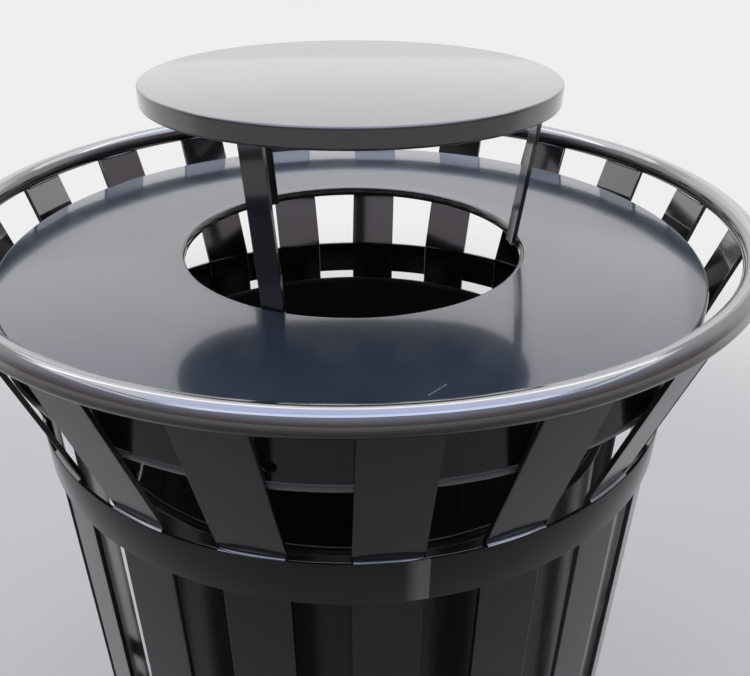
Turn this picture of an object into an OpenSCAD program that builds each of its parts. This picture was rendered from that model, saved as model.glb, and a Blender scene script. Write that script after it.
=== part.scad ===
// Round street litter bin: a flared body of welded steel slats, a removable
// liner with drop handles, and a loose lid with a flat rain bonnet.
// Millimetres, +Z up, origin on the floor at the middle of the bin.
// The first slat faces -Y, and the others follow anticlockwise seen from above.

/* [Rim] */
// Radius of the rim tube's centre line
rim_r = 340; // [320:1:380]
// Height of the rim tube's centre above the floor
rim_height = 881; // [800:1:1000]
// Outside diameter of the rim tube
rim_tube_d = 20; // [16:1:26]
// Wall of the rim tube
rim_tube_wall = 2; // [1:0.5:4]

/* [Slats] */
// Number of slats
slat_count = 19; // [14:1:22]
// Width of a slat
slat_w = 51.5; // [40:0.5:60]
// Thickness of a slat
slat_t = 4; // [3:0.5:6]
// Height of the slats' lower ends above the floor
slat_bottom = 14; // [5:1:18]
// Lean of the slats' lower stretch from upright, in degrees
slat_taper = 1.6; // [0:0.1:2.5]
// Inside radius of the bend where the flare starts
slat_bend_r = 6; // [3:1:12]

/* [Bands] */
// Outside radius of the upper band at its top edge
band_r = 293; // [285:1:300]
// Drop from the rim tube's centre to the upper band's top edge
band_drop = 150.5; // [130:0.5:180]
// Height of either band
band_h = 38.5; // [25:0.5:60]
// Thickness of either band
band_t = 3; // [2:0.5:5]
// Height of the lower band's lower edge above the floor
lower_band_z = 65; // [50:1:150]

/* [Base] */
// Thickness of the base pan
base_t = 3; // [2:0.5:5]
// Height of the base pan's turned-up edge, over its underside
base_edge_h = 25; // [15:1:40]
// Number of anchor holes
anchor_count = 4; // [3:1:6]
// Diameter of an anchor hole
anchor_d = 14; // [10:0.5:18]
// Diameter of the circle that the anchor holes lie on
anchor_pcd = 300; // [200:5:340]
// Diameter of the drain hole in the middle
drain_d = 25; // [10:1:60]

/* [Feet] */
// Number of feet
foot_count = 4; // [3:1:6]
// Diameter of a foot
foot_d = 44; // [36:1:55]
// Height of a foot
foot_h = 20; // [19:1:35]
// Diameter of the circle that the feet stand on
foot_pcd = 400; // [380:5:430]
// Diameter of a foot bolt
foot_bolt_d = 8; // [6:1:10]
// Height of a foot bolt's head
foot_bolt_head_h = 5; // [4:0.5:7]
// Thickness of a foot's rubber under the bolt head's seat
foot_seat_t = 9; // [6:0.5:10]
// Height of a foot nut
foot_nut_h = 6.5; // [5:0.5:8]
// Width across the flats of a foot nut and of a bolt head
foot_nut_w = 13; // [11:0.5:17]
// Outside diameter of a foot washer
foot_washer_d = 22; // [18:1:28]
// Thickness of a foot washer
foot_washer_t = 1.6; // [1:0.2:2.4]
// Bolt thread that stands out over its nut
foot_bolt_proud = 2; // [1:0.5:3]

/* [Lid] */
// Outside radius of the lid's skirt
lid_r = 311; // [300:1:318]
// Thickness of the lid's sheet
lid_t = 2; // [1:0.5:3]
// Outside radius of the lid's rounded edge
lid_edge_r = 2.5; // [2.5:0.5:12]
// Drop from the lid's top to the middle of its rolled bead
lid_drop = 38.5; // [30:0.5:50]
// Diameter of the lid's rolled bead
lid_bead_d = 8; // [6:0.5:12]
// How far the bead stands out past the skirt
lid_bead_proud = 1.5; // [1:0.5:3]
// Radius of the mouth in the lid
mouth_r = 153; // [130:0.5:160]
// Depth of the mouth's turned-down lip
mouth_lip_h = 8; // [6:0.5:20]
// Outside radius of the fold from the lid to the lip
mouth_fold_r = 4; // [3:0.5:6]
// Diameter of the tether hole in the skirt
tether_d = 10; // [6:0.5:12]
// Drop from the lid's top to the tether hole's middle
tether_drop = 24.5; // [18:0.5:25]
// Turn of the tether hole from the first slat, in degrees
tether_turn = -14.2; // [-180:0.1:180]

/* [Bonnet] */
// Outside radius of the bonnet
bonnet_r = 175.5; // [160:0.5:190]
// Height of the bonnet's top over the lid's top
bonnet_rise = 150; // [100:1:220]
// Height of the bonnet's turned-down rim
bonnet_rim_h = 16.5; // [12:0.5:30]
// Thickness of the bonnet's sheet
bonnet_t = 2; // [1:0.5:3]
// Outside radius of the bonnet's rounded edge
bonnet_edge_r = 2.5; // [2.5:0.5:6]
// Height of the hem that is folded up inside the rim
hem_h = 8; // [5:0.5:9]
// Number of bonnet legs
leg_count = 3; // [3:1:4]
// Width of a bonnet leg
leg_w = 20; // [15:1:30]
// Thickness of a bonnet leg
leg_t = 4; // [3:0.5:6]
// Turn of the first leg from the first slat, in degrees
leg_turn = -28.8; // [-180:0.1:180]
// How far a leg reaches under the lid's top
leg_drop = 8; // [5:0.5:12]

/* [Liner] */
// Outside radius of the liner's wall
liner_r = 243; // [225:1:248]
// Thickness of the liner's sheet
liner_t = 1.5; // [1:0.5:2]
// Drop from the lid's top to the liner's rim
liner_drop = 148; // [120:1:200]
// Diameter of the liner's rolled rim
liner_bead_d = 8; // [6:0.5:10]
// Rise of the liner's floor over its lower edge
liner_floor_rise = 20; // [16:0.5:35]
// Outside radius of the fold round the liner's floor
liner_fold_r = 5; // [3:0.5:8]

/* [Handles] */
// Diameter of a handle's wire
wire_d = 7; // [6:0.5:8]
// Clear width of a handle between its arms
grip_w = 90; // [80:1:100]
// Length of a handle's arms, from the pivot to the grip's middle
arm_len = 55; // [45:1:70]
// Radius of a handle's bends, on the wire's middle
wire_bend_r = 12; // [10:0.5:16]
// Drop from the liner's rim to the handles' pivots
pivot_drop = 32; // [28:1:50]
// Distance of a handle's pivot from the liner's middle
pivot_reach = 221; // [216:0.5:222]
// Width of a lug, along the pivot
lug_w = 16; // [14:0.5:18]
// Height of a lug
lug_h = 40; // [38:1:50]
// Outside radius of a lug round its pivot
lug_eye_r = 7; // [6.5:0.5:8]
// Thickness of a lug's plate at its thinner side
lug_plate_t = 4; // [3:0.5:6]
// Diameter of a rivet
rivet_d = 5; // [4:0.5:6]
// Diameter of a rivet's head
rivet_head_d = 10; // [8:0.5:11]
// Height of a rivet's head
rivet_head_h = 2.5; // [1.5:0.5:3]
// How far a rivet's shank goes into its lug
rivet_grip = 5; // [3:0.5:5.5]
// Drop from the pivot to the upper rivet
rivet_drop = 14; // [13:0.5:15]
// Distance between a lug's two rivets
rivet_step = 12; // [11:0.5:13]

/* [Fits] */
// Gap at a welded joint between curved and flat steel
weld_gap = 0.1; // [0.05:0.05:0.3]
// Gap between a loose piece and what it rests on
seat_gap = 0.3; // [0.2:0.05:0.5]
// Radial clearance of a handle in its lugs
pivot_gap = 0.08; // [0.05:0.01:0.1]
// Radial clearance of bolts in their holes
bolt_gap = 0.5; // [0.3:0.1:1]
// Radial clearance of a rivet in its holes
rivet_gap = 0.05; // [0.02:0.01:0.1]

/* [Hidden] */
$fn = 96;
turn_step = 360 / slat_count;
front_turn = -90;

// The slat's outer face at the upper band's top edge, where the bend starts
bend_x = sqrt(pow(band_r - band_t - weld_gap, 2) - pow(slat_w / 2, 2));
bend_z = rim_height - band_drop;
// The bend's centre, the way from it to the rim tube, and the flare's lean
bend_mid_r = slat_bend_r + slat_t / 2;
bend_cx = bend_x + slat_bend_r * cos(slat_taper);
bend_cz = bend_z - slat_bend_r * sin(slat_taper);
flare_reach = norm([rim_r - bend_cx, rim_height - bend_cz]);
flare_lean = atan2(rim_r - bend_cx, rim_height - bend_cz) + asin(bend_mid_r / flare_reach);
// The flare stops square under the tube, where the slat's corners just clear the tube's curve
corner_in = rim_r - sqrt(pow(rim_r, 2) - pow(slat_w / 2, 2));
flare_len = sqrt(pow(flare_reach, 2) - pow(bend_mid_r, 2))
    - rim_tube_d / 2 - corner_in * sin(flare_lean) - weld_gap;
bend_turn = flare_lean - slat_taper;
lower_len = (bend_z - slat_bottom) / cos(slat_taper);

// One face of a slat from its lower end to its upper one, at a radius from the bend's centre
bend_flats = 4;
function bend_point(r, turn) = [slat_bend_r - r * cos(turn), r * sin(turn)];
function slat_face(r) = concat(
    [[slat_bend_r - r, -lower_len]],
    [for (i = [0:bend_flats]) bend_point(r, bend_turn * i / bend_flats)],
    [bend_point(r, bend_turn) + flare_len * [sin(bend_turn), cos(bend_turn)]]
);

// Distance of a slat's outer and inner face from the bin's middle, under the bend
function slat_outer_x(z) = bend_x - tan(slat_taper) * (bend_z - z);
function slat_inner_x(z) = slat_outer_x(z) - slat_t / cos(slat_taper);
// Inside radius of a band that goes round the slats' corners
function band_inner_r(z) = norm([slat_outer_x(z), slat_w / 2]) + weld_gap;

base_r = slat_inner_x(foot_h) - weld_gap;
base_top = foot_h + base_t;

// The lid's bead rests on the flared slats, or on the rim where it is as wide as that,
// which sets the lid's height
bead_r = lid_r + lid_bead_proud - lid_bead_d / 2;
bead_inset = rim_r - bead_r;
bead_stand = lid_bead_d / 2 + seat_gap;
rim_stand = rim_tube_d / 2 + bead_stand;
bead_z = rim_height + (bead_inset > rim_stand
    ? (bead_stand + slat_t / 2 - bead_inset * cos(flare_lean)) / sin(flare_lean)
    : sqrt(pow(rim_stand, 2) - pow(bead_inset, 2)));
lid_top = bead_z + lid_drop;

bonnet_top = lid_top + bonnet_rise;
bonnet_floor = bonnet_top - bonnet_t;
hem_bottom = bonnet_top - bonnet_rim_h;
// A leg's outer face passes the lid's fold and the hem's top with its corners just clear
leg_low_z = lid_top - mouth_fold_r;
leg_low_x = sqrt(pow(mouth_r - weld_gap, 2) - pow(leg_w / 2, 2));
leg_high_z = hem_bottom + hem_h;
leg_high_x = sqrt(pow(bonnet_r - 2 * bonnet_t - weld_gap, 2) - pow(leg_w / 2, 2));
leg_lean = atan2(leg_high_x - leg_low_x, leg_high_z - leg_low_z);
leg_step = 360 / leg_count;

liner_bottom_z = base_top + seat_gap;
liner_top = lid_top - liner_drop;
liner_inner_r = liner_r - liner_t;
liner_bead_r = liner_r + liner_bead_d / 2 - liner_t;

pivot_z = liner_top - pivot_drop;
arm_y = grip_w / 2 + wire_d / 2;
lug_y = grip_w / 2 + wire_d + seat_gap + lug_w / 2;
pin_y = lug_y + lug_w / 2 + wire_d / 2;
lug_back_r = liner_inner_r - weld_gap;
lug_angle = asin(lug_y / liner_inner_r);
rivet_drops = [rivet_drop, rivet_drop + rivet_step];
side_turns = [180, 0];

steel_black = [0.07, 0.07, 0.08];
liner_black = [0.05, 0.05, 0.055];
zinc_grey = [0.62, 0.63, 0.65];
rubber_black = [0.03, 0.03, 0.03];

function slat_name(i) = str("slat_", i < 10 ? "0" : "", i);
function foot_name(i) = str("foot_", i);
function leg_name(i) = str("bonnet_leg_", i);

// A quarter of a folded sheet's edge, outline only
module fold(outer_r, sheet_t, turn) {
    rotate(turn)
        intersection() {
            difference() {
                circle(outer_r);
                circle(outer_r - sheet_t);
            }
            square(outer_r);
        }
}

module box_outline(low, high) {
    translate(low) square(high - low);
}

// Copies of a shape round the bin's middle
module ring_of(count, circle_d) {
    for (i = [1:count]) at_turn(i, count, circle_d) children();
}

module at_turn(i, count, circle_d) {
    rotate(360 / count * (i - 0.5)) translate([circle_d / 2, 0, 0]) children();
}

module rim_tube() {
    color(steel_black)
        translate([0, 0, rim_height])
            rotate_extrude() translate([rim_r, 0])
                difference() {
                    circle(rim_tube_d / 2);
                    circle(rim_tube_d / 2 - rim_tube_wall);
                }
}

// Side outline of a slat: lower stretch, bend and flare
module slat_outline() {
    outer = slat_face(slat_bend_r);
    inner = slat_face(slat_bend_r + slat_t);
    translate([bend_x, bend_z]) rotate(-slat_taper)
        polygon(concat(outer, [for (i = [1:len(inner)]) inner[len(inner) - i]]));
}

module slat(i) {
    color(steel_black)
        rotate(front_turn + (i - 1) * turn_step)
            rotate([90, 0, 0])
                linear_extrude(height = slat_w, center = true) slat_outline();
}

// A hoop round the slats' corners, leaning as they do
module band(low_z) {
    high_z = low_z + band_h;
    color(steel_black)
        rotate_extrude()
            polygon([[band_inner_r(low_z), low_z], [band_inner_r(low_z) + band_t, low_z],
                     [band_inner_r(high_z) + band_t, high_z], [band_inner_r(high_z), high_z]]);
}

module upper_band() {
    band(bend_z - band_h);
}

module lower_band() {
    band(lower_band_z);
}

module base_pan() {
    color(steel_black)
        difference() {
            rotate_extrude() {
                box_outline([0, foot_h], [base_r, base_top]);
                box_outline([base_r - base_t, foot_h], [base_r, foot_h + base_edge_h]);
            }
            translate([0, 0, foot_h - base_t]) {
                cylinder(d = drain_d, h = 3 * base_t);
                rotate(180 / anchor_count)
                    ring_of(anchor_count, anchor_pcd) cylinder(d = anchor_d, h = 3 * base_t);
                ring_of(foot_count, foot_pcd)
                    cylinder(d = foot_bolt_d + 2 * bolt_gap, h = 3 * base_t);
            }
        }
}

// A rubber foot with a stepped hole for its bolt's head
module foot(i) {
    head_d = foot_nut_w / cos(30) + 2 * bolt_gap;
    color(rubber_black)
        at_turn(i, foot_count, foot_pcd)
            rotate_extrude() {
                box_outline([foot_bolt_d / 2 + bolt_gap, foot_h - foot_seat_t], [foot_d / 2, foot_h]);
                box_outline([head_d / 2, 0], [foot_d / 2, foot_h]);
            }
}

module foot_bolts() {
    seat_z = foot_h - foot_seat_t;
    bolt_end = base_top + foot_washer_t + foot_nut_h + foot_bolt_proud;
    color(zinc_grey)
        ring_of(foot_count, foot_pcd) {
            translate([0, 0, seat_z - foot_bolt_head_h])
                cylinder(d = foot_nut_w / cos(30), h = foot_bolt_head_h, $fn = 6);
            translate([0, 0, seat_z - foot_bolt_head_h / 2])
                cylinder(d = foot_bolt_d, h = bolt_end - seat_z + foot_bolt_head_h / 2);
        }
}

module foot_washers() {
    color(zinc_grey)
        ring_of(foot_count, foot_pcd)
            translate([0, 0, base_top])
                difference() {
                    cylinder(d = foot_washer_d, h = foot_washer_t);
                    translate([0, 0, -foot_washer_t])
                        cylinder(d = foot_bolt_d + bolt_gap, h = 3 * foot_washer_t);
                }
}

module foot_nuts() {
    color(zinc_grey)
        ring_of(foot_count, foot_pcd)
            translate([0, 0, base_top + foot_washer_t])
                difference() {
                    cylinder(d = foot_nut_w / cos(30), h = foot_nut_h, $fn = 6);
                    translate([0, 0, -foot_nut_h])
                        cylinder(d = foot_bolt_d + 2 * weld_gap, h = 3 * foot_nut_h);
                }
}

// Half outline of the lid: lip, plate, skirt and rolled bead
module lid_outline() {
    box_outline([mouth_r, lid_top - mouth_lip_h], [mouth_r + lid_t, lid_top - mouth_fold_r]);
    translate([mouth_r + mouth_fold_r, lid_top - mouth_fold_r]) fold(mouth_fold_r, lid_t, 90);
    box_outline([mouth_r + mouth_fold_r, lid_top - lid_t], [lid_r - lid_edge_r, lid_top]);
    translate([lid_r - lid_edge_r, lid_top - lid_edge_r]) fold(lid_edge_r, lid_t, 0);
    box_outline([lid_r - lid_t, bead_z], [lid_r, lid_top - lid_edge_r]);
    translate([bead_r, bead_z]) circle(lid_bead_d / 2);
}

module lid_pan() {
    color(steel_black)
        difference() {
            rotate_extrude() lid_outline();
            rotate(front_turn + tether_turn)
                translate([lid_r - tether_d, 0, lid_top - tether_drop])
                    rotate([0, 90, 0]) cylinder(d = tether_d, h = 2 * tether_d);
        }
}

// A flat disc with a turned-down rim and a hem folded up inside it
module bonnet_cap() {
    color(steel_black)
        rotate_extrude() {
            box_outline([0, bonnet_floor], [bonnet_r - bonnet_edge_r, bonnet_top]);
            translate([bonnet_r - bonnet_edge_r, bonnet_top - bonnet_edge_r])
                fold(bonnet_edge_r, bonnet_t, 0);
            box_outline([bonnet_r - bonnet_t, hem_bottom + bonnet_t],
                        [bonnet_r, bonnet_top - bonnet_edge_r]);
            box_outline([bonnet_r - 2 * bonnet_t, hem_bottom + bonnet_t],
                        [bonnet_r - bonnet_t, hem_bottom + hem_h]);
            translate([bonnet_r - bonnet_t, hem_bottom + bonnet_t]) circle(bonnet_t);
        }
}

// A flat bar from inside the lid's lip to under the bonnet's disc
module bonnet_leg(i) {
    lean_run = tan(leg_lean);
    foot_z = lid_top - leg_drop;
    head_z = bonnet_floor - weld_gap;
    foot_x = leg_low_x - lean_run * (leg_low_z - foot_z);
    head_x = leg_low_x + lean_run * (head_z - leg_low_z);
    thick_x = leg_t / cos(leg_lean);
    color(steel_black)
        rotate(front_turn + leg_turn + (i - 1) * leg_step)
            rotate([90, 0, 0])
                linear_extrude(height = leg_w, center = true)
                    polygon([[foot_x - thick_x, foot_z], [foot_x, foot_z],
                             [head_x, head_z], [head_x - thick_x, head_z]]);
}

module liner_wall() {
    color(liner_black)
        difference() {
            rotate_extrude() {
                box_outline([liner_inner_r, liner_bottom_z], [liner_r, liner_top - liner_bead_d / 2]);
                translate([liner_bead_r, liner_top - liner_bead_d / 2]) circle(liner_bead_d / 2);
            }
            for (side = [0, 1]) lug_pair(side)
                lug_shanks(rivet_d / 2 + rivet_gap, rivet_grip);
        }
}

module liner_floor() {
    floor_r = liner_inner_r - weld_gap;
    floor_top = liner_bottom_z + liner_floor_rise;
    color(liner_black)
        rotate_extrude() {
            box_outline([0, floor_top - liner_t], [floor_r - liner_fold_r, floor_top]);
            translate([floor_r - liner_fold_r, floor_top - liner_fold_r])
                fold(liner_fold_r, liner_t, 0);
            box_outline([floor_r - liner_t, liner_bottom_z], [floor_r, floor_top - liner_fold_r]);
        }
}

// One lug on the +Y side of a handle: an eye round the pin and a plate that backs onto the wall
module lug_blank() {
    plate_x = sqrt(pow(liner_inner_r, 2) - pow(lug_y + lug_w / 2, 2)) - lug_plate_t;
    eye_top = pivot_z + lug_eye_r;
    intersection() {
        translate([0, lug_y, 0]) rotate([90, 0, 0])
            linear_extrude(height = lug_w, center = true) {
                translate([pivot_reach, pivot_z]) circle(lug_eye_r);
                box_outline([pivot_reach, pivot_z - lug_eye_r], [liner_r, eye_top]);
                box_outline([plate_x, eye_top - lug_h], [liner_r, eye_top]);
            }
        translate([0, 0, eye_top - lug_h]) cylinder(r = lug_back_r, h = lug_h);
    }
}

// The rivets' shanks, or with a clearance their holes, on one lug
module lug_shanks(shank_r, grip) {
    for (drop = rivet_drops)
        rotate(lug_angle) translate([lug_back_r - grip, 0, pivot_z - drop])
            rotate([0, 90, 0]) cylinder(r = shank_r, h = liner_r + weld_gap - lug_back_r + grip);
}

// What is made for the +X side's upper lug, copied to the lugs of one side
module lug_pair(side) {
    rotate(side_turns[side])
        for (end = [0, 1]) mirror([0, end, 0]) children();
}

module lugs(side) {
    color(zinc_grey)
        lug_pair(side)
            difference() {
                lug_blank();
                translate([pivot_reach, 0, pivot_z]) rotate([-90, 0, 0])
                    cylinder(r = wire_d / 2 + pivot_gap, h = 2 * pin_y);
                lug_shanks(rivet_d / 2 + rivet_gap, rivet_grip + rivet_gap);
            }
}

module left_lugs() {
    lugs(0);
}

module right_lugs() {
    lugs(1);
}

module lug_rivets() {
    color(zinc_grey)
        for (side = [0, 1]) lug_pair(side) {
            lug_shanks(rivet_d / 2, rivet_grip);
            for (drop = rivet_drops)
                rotate(lug_angle) translate([liner_r + weld_gap, 0, pivot_z - drop])
                    rotate([0, 90, 0]) cylinder(d = rivet_head_d, h = rivet_head_h);
        }
}

// A bent wire: pins in the lugs, arms that hang from them and a straight grip
module handle(side) {
    arm_low = arm_len - wire_bend_r;
    color(zinc_grey)
        rotate(side_turns[side]) translate([pivot_reach, 0, pivot_z]) {
            for (end = [0, 1]) mirror([0, end, 0]) {
                translate([0, arm_y, 0]) {
                    rotate([-90, 0, 0]) cylinder(d = wire_d, h = pin_y - arm_y);
                    sphere(d = wire_d);
                    translate([0, 0, -arm_low]) cylinder(d = wire_d, h = arm_low);
                }
                translate([0, arm_y - wire_bend_r, -arm_low]) rotate([0, 90, 0])
                    rotate_extrude(angle = 90) translate([wire_bend_r, 0]) circle(d = wire_d);
            }
            translate([0, 0, -arm_len]) rotate([90, 0, 0])
                cylinder(d = wire_d, h = 2 * (arm_y - wire_bend_r), center = true);
        }
}

module left_handle() {
    handle(0);
}

module right_handle() {
    handle(1);
}

rim_tube();
upper_band();
lower_band();
base_pan();
for (i = [1:slat_count]) slat(i);
for (i = [1:foot_count]) foot(i);
foot_bolts();
foot_washers();
foot_nuts();
lid_pan();
bonnet_cap();
for (i = [1:leg_count]) bonnet_leg(i);
liner_wall();
liner_floor();
left_lugs();
right_lugs();
lug_rivets();
left_handle();
right_handle();
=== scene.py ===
# %% [markdown]
# # A round street litter bin
# The bin is a flared cage of welded steel slats, a liner that lifts out of it, and a loose lid
# with a flat rain bonnet on three legs. The packed model comes in first, as a fixed frame in
# metres. Every piece below is modelled in that same frame, so nothing has to be fitted later.

# %% Load the packed frame
import math

import bpy
from mathutils import Euler, Matrix, Vector


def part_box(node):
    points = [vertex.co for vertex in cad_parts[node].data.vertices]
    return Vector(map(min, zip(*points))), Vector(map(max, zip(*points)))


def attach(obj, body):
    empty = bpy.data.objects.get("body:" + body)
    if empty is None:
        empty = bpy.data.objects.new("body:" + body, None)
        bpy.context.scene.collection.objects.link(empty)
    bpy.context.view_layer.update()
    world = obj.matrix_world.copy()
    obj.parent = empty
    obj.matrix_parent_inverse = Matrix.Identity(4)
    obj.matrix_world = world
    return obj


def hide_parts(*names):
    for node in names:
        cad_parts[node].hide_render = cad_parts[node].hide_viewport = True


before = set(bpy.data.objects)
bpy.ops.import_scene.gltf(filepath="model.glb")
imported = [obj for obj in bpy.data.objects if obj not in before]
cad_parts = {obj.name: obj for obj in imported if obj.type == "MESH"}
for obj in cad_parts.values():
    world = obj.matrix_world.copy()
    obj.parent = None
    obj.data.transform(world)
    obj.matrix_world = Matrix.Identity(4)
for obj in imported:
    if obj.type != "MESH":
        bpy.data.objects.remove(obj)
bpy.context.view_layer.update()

# %% [markdown]
# ## The camera
# The rim, the lid's edge, the mouth and the bonnet are circles round one axis, so the ellipses
# that they make in the picture tell where the camera stood. It looks down on the bin from close
# by, a little to the left of the first slat. Distances are from the bin's axis and the lid's top.

# %% Set up the camera
MM = 0.001
PHOTO_WIDTH_PX = 750
FOCAL_PX = 822.5
SENSOR_MM = 36
LID_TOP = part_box("lid_pan")[1].z
CAMERA_DISTANCE = 0.7115
CAMERA_OVER_LID = 0.2862
CAMERA_TURN = math.radians(-4.42)
CAMERA_HEADING = math.radians(-6.08)
CAMERA_PITCH = math.radians(28.65)
CAMERA_ROLL = math.radians(0.21)

bpy.ops.object.select_all(action="DESELECT")
bpy.ops.object.camera_add()
camera = bpy.context.active_object
camera.location = (CAMERA_DISTANCE * math.sin(CAMERA_TURN),
                   -CAMERA_DISTANCE * math.cos(CAMERA_TURN), LID_TOP + CAMERA_OVER_LID)
looking = Euler((math.pi / 2 - CAMERA_PITCH, 0, CAMERA_HEADING)).to_matrix()
camera.rotation_euler = (looking @ Matrix.Rotation(CAMERA_ROLL, 3, "Z")).to_euler()
camera.data.sensor_width = SENSOR_MM
camera.data.lens = FOCAL_PX / PHOTO_WIDTH_PX * SENSOR_MM
bpy.context.scene.camera = camera
print("camera at", [round(value, 3) for value in camera.location], "lens", round(camera.data.lens, 2))

# %% [markdown]
# ## Writing finishes
# A finish is a small tree of shader nodes. Adding each node and link by hand hides the thought
# behind it, so a socket is wrapped in a class that knows plus, minus and times. An expression such
# as `1 - dust * 0.4` then adds its own Math nodes, and every other node comes from one method.

# %% A value that varies over a surface
class Value:
    def __init__(self, nodes, socket):
        self.nodes, self.socket = nodes, socket

    def math(self, operation, first, second):
        return self.nodes.node("ShaderNodeMath", {"operation": operation}, {0: first, 1: second})

    def __add__(self, other):
        return self.math("ADD", self, other)

    def __sub__(self, other):
        return self.math("SUBTRACT", self, other)

    def __rsub__(self, other):
        return self.math("SUBTRACT", other, self)

    def __mul__(self, other):
        return self.math("MULTIPLY", self, other)

    def __lt__(self, other):
        return self.math("LESS_THAN", self, other)

    def __gt__(self, other):
        return self.math("GREATER_THAN", self, other)

    __radd__ = __add__
    __rmul__ = __mul__


print("values take + - * < >")


# %% A tree of nodes, and a finish that is one
class Nodes:
    def __init__(self, tree):
        self.tree = tree

    def feed(self, socket, value):
        if isinstance(value, Value):
            self.tree.links.new(value.socket, socket)
        else:
            socket.default_value = value

    def node(self, kind, settings=None, sockets=None, out=0):
        made = self.tree.nodes.new(kind)
        for name, value in (settings or {}).items():
            setattr(made, name, value)
        for key, value in (sockets or {}).items():
            self.feed(made.inputs[key], value)
        return Value(self, made.outputs[out])

    def ramp(self, value, low, high):
        return self.node("ShaderNodeMapRange", {"interpolation_type": "SMOOTHSTEP"},
                         {"Value": value, "From Min": low, "From Max": high})

    def mix(self, factor, first, second):
        return self.node("ShaderNodeMix", {"data_type": "RGBA"},
                         {0: factor, 6: first, 7: second}, out=2)


class Finish(Nodes):
    def __init__(self, name, **constants):
        self.material = bpy.data.materials.new(name)
        self.material.use_nodes = True
        super().__init__(self.material.node_tree)
        self.shader = self.tree.nodes["Principled BSDF"]
        self.place = self.node("ShaderNodeTexCoord", out="Object")
        self.set(**constants)

    def set(self, **values):
        for name, value in values.items():
            self.feed(self.shader.inputs[name.replace("_", " ")], value)

    def stretched(self, scale, turn=(0, 0, 0)):
        return self.node("ShaderNodeMapping", {}, {"Vector": self.place, "Scale": scale,
                                                  "Rotation": turn})

    def noise(self, scale, detail=2.0, place=None):
        return self.node("ShaderNodeTexNoise", {}, {"Vector": place or self.place, "Scale": scale,
                                                   "Detail": detail})

    def facing_up(self, low=0.55, high=1.0):
        normal = self.node("ShaderNodeTexCoord", out="Normal")
        return self.ramp(self.node("ShaderNodeSeparateXYZ", {}, {0: normal}, out="Z"), low, high)

    def facing_in(self, limit=0):
        flat = self.node("ShaderNodeVectorMath", {"operation": "MULTIPLY"},
                         {0: self.place, 1: (1, 1, 0)}, out="Vector")
        normal = self.node("ShaderNodeTexCoord", out="Normal")
        outward = self.node("ShaderNodeVectorMath", {"operation": "DOT_PRODUCT"},
                            {0: flat, 1: normal}, out="Value")
        return outward < limit

    def bump(self, height, strength, distance):
        return self.node("ShaderNodeBump", {}, {"Height": height, "Strength": strength,
                                               "Distance": distance}, out="Normal")


print("finishes:", [name for name in vars(Finish) if not name.startswith("_")])

# %% [markdown]
# ## Wear on the paint, and painted highlights
# The cage, the lid and the bonnet are powder coated: black, glossy, and slightly rippled like orange
# peel. What tells such a coat from plastic is its unevenness. Specks were caught in it when it was
# baked, and use left fine scratches. Other marks have a place of their own: one longer scratch on the
# lid, and painted highlights where the lid's bead and lip and a patch beside the seam of the upper
# band are painted paler, standing for the reflections that they catch. They could be painted on an
# image, but a formula stays sharp at any distance, so each is a mask between 0 and 1 that is worked
# out from the place on the bin.

# %% Draw the wear and the painted highlights
SCRATCH_TURN = 40.6
SCRATCH_FROM, SCRATCH_TO = -154.5 * MM, -135.2 * MM
SCRATCH_SIDE, SCRATCH_W = -221.5 * MM, 0.6 * MM
BAND_SEAM_TURN = -84.3
SEAM_REFLECTION_FADE = (-20 * MM, -6 * MM)
BEAD_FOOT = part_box("lid_pan")[0].z
BEAD_MID, BEAD_TOP = BEAD_FOOT + 4 * MM, BEAD_FOOT + 8 * MM
WELL_INWARD = -0.1
# Strengths of painted highlights: paler paint on the lid's bead and lip and beside the band's seam
# stands for reflections
BEAD_PAINTED_HIGHLIGHT, LIP_PAINTED_REFLECTION, SEAM_PAINTED_REFLECTION = 0.4, 0.15, 0.5
FINE_LINES = (9, 1400, 9)


def specks(finish, cells, size, share):
    cell = {"Vector": finish.place, "Scale": cells}
    near = finish.node("ShaderNodeTexVoronoi", {}, cell, out="Distance") < size
    tint = finish.node("ShaderNodeTexVoronoi", {}, cell, out="Color")
    kept = finish.node("ShaderNodeSeparateColor", {}, {0: tint}, out="Red") < share
    return near * kept


def scratches(finish, turn, share):
    lines = finish.noise(1.0, 1.0, finish.stretched(FINE_LINES, turn))
    patches = finish.ramp(finish.noise(7.0, 1.0), share, share + 0.06)
    return finish.ramp(lines, 0.72, 0.76) * patches


def laid(finish, degrees):
    place = finish.stretched((1, 1, 1), (0, 0, math.radians(-degrees)))
    return [finish.node("ShaderNodeSeparateXYZ", {}, {0: place}, out=axis) for axis in "XY"]


def lid_scratch(finish):
    along, across = laid(finish, SCRATCH_TURN)
    inside = (along > SCRATCH_FROM) * (along < SCRATCH_TO)
    line = (across > SCRATCH_SIDE) * (across < SCRATCH_SIDE + SCRATCH_W)
    return inside * line * finish.ramp(finish.noise(500.0, 1.0), 0.2, 0.6)


# The longer scratch is real wear; the paler bead and lip are painted highlights standing for
# reflections
def lid_scratch_and_highlights(finish):
    height = finish.node("ShaderNodeSeparateXYZ", {}, {0: finish.place}, out="Z")
    bead = 1 - finish.ramp(height, BEAD_MID, BEAD_TOP)
    return lid_scratch(finish) + bead * BEAD_PAINTED_HIGHLIGHT + finish.facing_in(WELL_INWARD) * LIP_PAINTED_REFLECTION


# Beside the upper band's seam a paler patch is painted: a painted reflection, not wear
def painted_seam_reflection(finish):
    outward, along = laid(finish, BAND_SEAM_TURN)
    return finish.ramp(along, *SEAM_REFLECTION_FADE) * (along < 0) * (outward > 0) * SEAM_PAINTED_REFLECTION


print("lid scratch", round((SCRATCH_TO - SCRATCH_FROM) / MM, 1), "mm long")
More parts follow.
